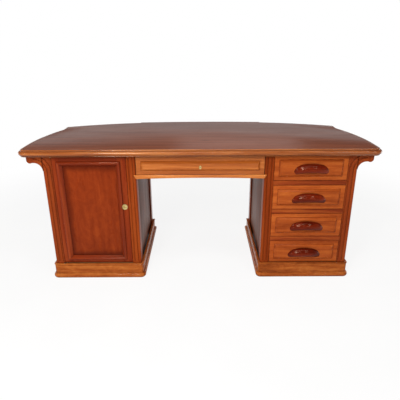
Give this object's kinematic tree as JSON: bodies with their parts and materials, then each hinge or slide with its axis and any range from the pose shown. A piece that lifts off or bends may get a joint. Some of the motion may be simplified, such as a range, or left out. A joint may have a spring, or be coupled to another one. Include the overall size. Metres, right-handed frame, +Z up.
{
  "type": "captains desk",
  "caption": "Wooden captains desk with a bowed moulded top on two panelled pedestals, a panelled cupboard door, a stack of drawers with carved crescent pulls and a drawer over the kneehole.",
  "frame": {"origin": "on the floor under the middle of the top", "axes": "+X to the right seen from the front, +Y towards the back, +Z up"},
  "size_m": [1.922, 0.7958, 0.78],
  "materials": {
    "top_wood": "polished brown mahogany",
    "carcass_wood": "polished red-brown mahogany",
    "drawer_wood": "polished golden-brown mahogany",
    "door_wood": "polished red mahogany",
    "pull_wood": "high-gloss dark mahogany",
    "inner_wood": "plain matt wood",
    "brass": "polished",
    "steel": "plain"
  },
  "bodies": {
    "carcass": {"back_panels": "carcass_wood", "bottom_boards": "inner_wood", "centre_drawer_runners": "inner_wood", "corbels": "carcass_wood", "cupboard_shelf": "inner_wood", "drawer_dividers": "carcass_wood", "drawer_runners": "inner_wood", "front_top_rails": "carcass_wood", "hinge_carcass_plates": "brass", "kneehole_rail": "carcass_wood", "left_front_inner_post": "carcass_wood", "left_front_outer_post": "carcass_wood", "left_inner_panel": "carcass_wood", "left_outer_panel": "carcass_wood", "left_skirting": "carcass_wood", "rear_posts": "carcass_wood", "rear_rail": "inner_wood", "right_front_inner_post": "carcass_wood", "right_front_outer_post": "carcass_wood", "right_inner_panel": "carcass_wood", "right_outer_panel": "carcass_wood", "right_skirting": "carcass_wood", "shelf_pegs": "inner_wood", "top_board": "top_wood", "top_edging_front": "top_wood", "top_edging_rear": "top_wood", "top_edging_sides": "top_wood", "top_fixing_blocks": "inner_wood", "top_fixing_screws": "steel"},
    "door": {"door_stiles": "door_wood", "door_rails": "door_wood", "door_panel": "door_wood", "door_moulding": "door_wood", "hinge_door_plates": "brass", "lock_ring": "brass", "lock_case": "steel"},
    "lock_plug": {"lock_plug": "brass"},
    "lock_bolt": {"lock_bolt": "steel"},
    "drawer_1": {"drawer_1_front": "drawer_wood", "drawer_1_field": "drawer_wood", "drawer_1_box": "inner_wood", "drawer_1_pull": "pull_wood"},
    "drawer_2": {"drawer_2_front": "drawer_wood", "drawer_2_field": "drawer_wood", "drawer_2_box": "inner_wood", "drawer_2_pull": "pull_wood"},
    "drawer_3": {"drawer_3_front": "drawer_wood", "drawer_3_field": "drawer_wood", "drawer_3_box": "inner_wood", "drawer_3_pull": "pull_wood"},
    "drawer_4": {"drawer_4_front": "drawer_wood", "drawer_4_field": "drawer_wood", "drawer_4_box": "inner_wood", "drawer_4_pull": "pull_wood"},
    "centre_drawer": {"centre_drawer_front": "drawer_wood", "centre_drawer_field": "drawer_wood", "centre_drawer_box": "inner_wood", "centre_drawer_escutcheon": "brass", "centre_lock_case": "steel"},
    "centre_bolt": {"centre_lock_bolt": "steel"}
  },
  "joints": [
    {"name": "door_hinge", "type": "hinge", "parent": "carcass", "child": "door", "pos_m": [-0.79725, -0.355, 0.4135], "axis": [0, 0, -1], "range_deg": [0, 110]},
    {"name": "lock_turn", "type": "hinge", "parent": "door", "child": "lock_plug", "pos_m": [-0.421, -0.35, 0.445], "axis": [0, 1, 0], "range_deg": [0, 90]},
    {"name": "lock_bolt_slide", "type": "slide", "parent": "door", "child": "lock_bolt", "axis": [1, 0, 0], "range_m": [0, 0.00848]},
    {"name": "drawer_1_slide", "type": "slide", "parent": "carcass", "child": "drawer_1", "axis": [0, -1, 0], "range_m": [0, 0.33]},
    {"name": "drawer_2_slide", "type": "slide", "parent": "carcass", "child": "drawer_2", "axis": [0, -1, 0], "range_m": [0, 0.33]},
    {"name": "drawer_3_slide", "type": "slide", "parent": "carcass", "child": "drawer_3", "axis": [0, -1, 0], "range_m": [0, 0.33]},
    {"name": "drawer_4_slide", "type": "slide", "parent": "carcass", "child": "drawer_4", "axis": [0, -1, 0], "range_m": [0, 0.33]},
    {"name": "centre_drawer_slide", "type": "slide", "parent": "carcass", "child": "centre_drawer", "axis": [0, -1, 0], "range_m": [0, 0.36]},
    {"name": "centre_bolt_slide", "type": "slide", "parent": "centre_drawer", "child": "centre_bolt", "axis": [0, 0, 1], "range_m": [0, 0.007]}
  ],
  "couplings": [
    {"joint": "lock_turn", "follows": "lock_bolt_slide", "rad_per_m": 185.1}
  ]
}
